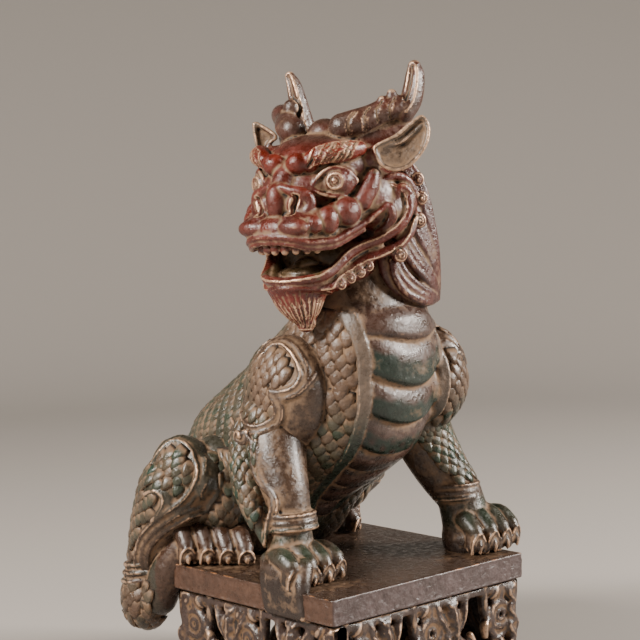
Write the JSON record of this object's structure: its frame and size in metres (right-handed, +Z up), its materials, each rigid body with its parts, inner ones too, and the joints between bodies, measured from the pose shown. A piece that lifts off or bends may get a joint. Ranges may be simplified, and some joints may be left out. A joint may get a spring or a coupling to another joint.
{
  "type": "qilin figure on a pierced pedestal",
  "caption": "Seated horned and scaled qilin with open jaws, cast with its flat slab, on a hollow pierced scrollwork pedestal.",
  "frame": {"origin": "middle of the pedestal's flat underside", "axes": "+Z up; -Y is the front, where the chest and forepaws point; -X is the figure's own right, where its head is turned"},
  "size_m": [0.1188, 0.1315, 0.2404],
  "materials": {
    "lacquered_bronze": "worn red and green lacquer over brown bronze, glossy on the raised forms and dusty in the hollows",
    "worn_bronze": "brown patina with ochre dust in the piercings and bright rubbed edges"
  },
  "bodies": {
    "root": {"qilin_on_slab": "lacquered_bronze", "openwork_plinth": "worn_bronze"}
  },
  "joints": []
}
